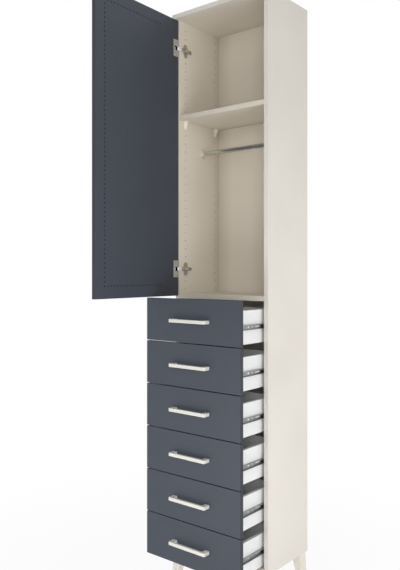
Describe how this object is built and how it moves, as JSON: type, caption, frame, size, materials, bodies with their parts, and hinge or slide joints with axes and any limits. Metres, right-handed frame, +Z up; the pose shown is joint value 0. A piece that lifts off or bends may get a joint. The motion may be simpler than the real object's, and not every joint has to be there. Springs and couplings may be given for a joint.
{
  "type": "chifforobe",
  "caption": "Tall narrow cabinet on splayed legs: hanging space with a shelf and rail behind a hinged door, over drawers on side slides.",
  "frame": {"origin": "on the floor, at the centre of the front left foot's sole, seen from the front", "axes": "+Z up, -Y towards the front, +X to the right as seen from the front"},
  "size_m": [0.4543, 0.7129, 2.23],
  "materials": {
    "carcass_board": "satin",
    "shelf_board": "satin",
    "back_board": "matte",
    "front_board": "satin",
    "box_board": "satin",
    "box_bottom_board": "matte",
    "leg_wood": "satin",
    "dowel_wood": "matte",
    "handle_paint": "satin",
    "rail_steel": "polished",
    "bracket_metal": "satin",
    "hinge_steel": "satin",
    "fastener_steel": "satin",
    "slide_steel": "satin",
    "support_plastic": "satin",
    "retainer_plastic": "satin"
  },
  "bodies": {
    "carcass": {"left_side_panel": "carcass_board", "right_side_panel": "carcass_board", "top_panel": "carcass_board", "bottom_panel": "carcass_board", "divider_panel": "shelf_board", "back_panel": "back_board", "adjustable_shelf": "shelf_board", "shelf_supports": "support_plastic", "hanging_rail": "rail_steel", "rail_brackets": "bracket_metal", "legs": "leg_wood", "leg_bolts": "fastener_steel", "carcass_dowels": "dowel_wood", "cabinet_slide_members": "slide_steel", "slide_retainers": "retainer_plastic", "hinge_mounting_plates": "hinge_steel", "hinge_arms": "hinge_steel", "hinge_arm_screws": "fastener_steel", "wood_screws": "fastener_steel"},
    "door": {"door_panel": "front_board", "door_handle": "handle_paint", "hinge_cups": "hinge_steel", "hinge_pins": "fastener_steel", "hinge_cup_screws": "fastener_steel"},
    "drawer_1": {"drawer_1_front": "front_board", "drawer_1_box_sides": "box_board", "drawer_1_box_back": "box_board", "drawer_1_box_bottom": "box_bottom_board", "drawer_1_handle": "handle_paint", "drawer_1_slide_members": "slide_steel"},
    "drawer_2": {"drawer_2_front": "front_board", "drawer_2_box_sides": "box_board", "drawer_2_box_back": "box_board", "drawer_2_box_bottom": "box_bottom_board", "drawer_2_handle": "handle_paint", "drawer_2_slide_members": "slide_steel"},
    "drawer_3": {"drawer_3_front": "front_board", "drawer_3_box_sides": "box_board", "drawer_3_box_back": "box_board", "drawer_3_box_bottom": "box_bottom_board", "drawer_3_handle": "handle_paint", "drawer_3_slide_members": "slide_steel"},
    "drawer_4": {"drawer_4_front": "front_board", "drawer_4_box_sides": "box_board", "drawer_4_box_back": "box_board", "drawer_4_box_bottom": "box_bottom_board", "drawer_4_handle": "handle_paint", "drawer_4_slide_members": "slide_steel"},
    "drawer_5": {"drawer_5_front": "front_board", "drawer_5_box_sides": "box_board", "drawer_5_box_back": "box_board", "drawer_5_box_bottom": "box_bottom_board", "drawer_5_handle": "handle_paint", "drawer_5_slide_members": "slide_steel"},
    "drawer_6": {"drawer_6_front": "front_board", "drawer_6_box_sides": "box_board", "drawer_6_box_back": "box_board", "drawer_6_box_bottom": "box_bottom_board", "drawer_6_handle": "handle_paint", "drawer_6_slide_members": "slide_steel"}
  },
  "joints": [
    {"name": "door_hinge", "type": "hinge", "parent": "carcass", "child": "door", "pos_m": [-0.0015, -0.0005, 1.67], "axis": [0, 0, -1], "range_deg": [-88, 7]},
    {"name": "drawer_1_slide", "type": "slide", "parent": "carcass", "child": "drawer_1", "axis": [0, -1, 0], "range_m": [-0.143, 0.042]},
    {"name": "drawer_2_slide", "type": "slide", "parent": "carcass", "child": "drawer_2", "axis": [0, -1, 0], "range_m": [-0.143, 0.042]},
    {"name": "drawer_3_slide", "type": "slide", "parent": "carcass", "child": "drawer_3", "axis": [0, -1, 0], "range_m": [-0.143, 0.042]},
    {"name": "drawer_4_slide", "type": "slide", "parent": "carcass", "child": "drawer_4", "axis": [0, -1, 0], "range_m": [-0.143, 0.042]},
    {"name": "drawer_5_slide", "type": "slide", "parent": "carcass", "child": "drawer_5", "axis": [0, -1, 0], "range_m": [-0.143, 0.042]},
    {"name": "drawer_6_slide", "type": "slide", "parent": "carcass", "child": "drawer_6", "axis": [0, -1, 0], "range_m": [-0.143, 0.042]}
  ]
}
